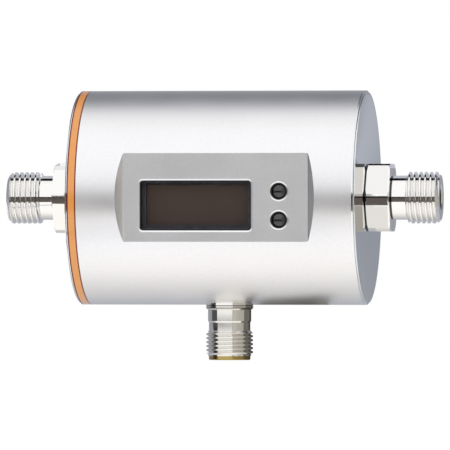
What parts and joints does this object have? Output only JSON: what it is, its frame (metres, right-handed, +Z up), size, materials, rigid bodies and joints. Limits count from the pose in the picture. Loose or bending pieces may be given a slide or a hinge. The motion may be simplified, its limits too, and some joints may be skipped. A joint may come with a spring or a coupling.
{
  "type": "electromagnetic flow meter",
  "caption": "Compact in-line electromagnetic flow meter: steel drum housing with display window and push buttons, threaded pipe nipples and a round plug connector.",
  "frame": {"origin": "on the flow axis, midway between the two nipple ends", "axes": "+X along the flow from inlet to outlet, -Y towards the side with the display, +Z up, with the plug connector pointing down"},
  "size_m": [0.11, 0.054, 0.0679],
  "materials": {
    "housing_steel": "bead-blasted satin stainless steel",
    "end_plate_steel": "fine satin stainless steel",
    "turned_steel": "bright turned stainless steel",
    "seal_orange": "smooth moulded sealing ring",
    "seal_black": "moulded black rubber",
    "insulator": "machined insulating plastic",
    "electrode_steel": "ground stainless steel",
    "soft_iron": "zinc-plated soft iron",
    "copper_wire": "enamelled copper winding",
    "bobbin_plastic": "natural moulded plastic",
    "chassis_plastic": "black moulded plastic",
    "board_laminate": "green circuit board",
    "display_body": "dark display housing",
    "display_brown": "smoked brown filter",
    "pane_clear": "clear polished pane",
    "bezel_black": "black mask",
    "button_rubber": "smooth black rubber",
    "switch_plastic": "moulded switch body",
    "ribbon_film": "amber flexible circuit",
    "screw_steel": "zinc-plated steel",
    "connector_steel": "bright turned stainless steel",
    "connector_brass": "gold-plated brass",
    "contact_gold": "gold-plated contact",
    "carrier_plastic": "black moulded plastic"
  },
  "bodies": {
    "housing": {"housing_tube": "housing_steel", "outlet_end_plate": "end_plate_steel", "inlet_end_cap": "end_plate_steel", "seal_ring": "seal_orange", "cap_o_ring": "seal_black", "inlet_nipple": "turned_steel", "outlet_nipple": "turned_steel", "inlet_lock_nut": "screw_steel", "outlet_lock_nut": "screw_steel", "inlet_o_ring": "seal_black", "outlet_o_ring": "seal_black", "measuring_tube": "insulator", "electrode_front": "electrode_steel", "electrode_rear": "electrode_steel", "electrode_nut_front": "electrode_steel", "electrode_nut_rear": "electrode_steel", "pole_piece_upper": "soft_iron", "pole_piece_lower": "soft_iron", "coil_bobbin_upper": "bobbin_plastic", "coil_bobbin_lower": "bobbin_plastic", "coil_winding_upper": "copper_wire", "coil_winding_lower": "copper_wire", "yoke": "soft_iron", "yoke_screw_upper": "screw_steel", "yoke_screw_lower": "screw_steel", "chassis": "chassis_plastic", "display_board": "board_laminate", "main_board": "board_laminate", "board_screws": "screw_steel", "ribbon_link": "ribbon_film", "window_gasket": "seal_black", "window_pane": "pane_clear", "window_bezel": "bezel_black", "display_filter": "display_brown", "display_module": "display_body", "button_seal_upper": "seal_black", "button_seal_lower": "seal_black", "switch_upper": "switch_plastic", "switch_lower": "switch_plastic", "connector_shell": "connector_steel", "connector_sleeve": "connector_brass", "contact_carrier": "carrier_plastic", "carrier_o_ring": "seal_black", "contact_pins": "contact_gold"},
    "button_upper": {"button_upper": "button_rubber", "switch_plunger_upper": "switch_plastic"},
    "button_lower": {"button_lower": "button_rubber", "switch_plunger_lower": "switch_plastic"}
  },
  "joints": [
    {"name": "button_upper_press", "type": "slide", "parent": "housing", "child": "button_upper", "axis": [0, 1, 0], "range_m": [0, 0.0005], "stiffness_N_per_m": 800},
    {"name": "button_lower_press", "type": "slide", "parent": "housing", "child": "button_lower", "axis": [0, 1, 0], "range_m": [0, 0.0005], "stiffness_N_per_m": 800}
  ]
}
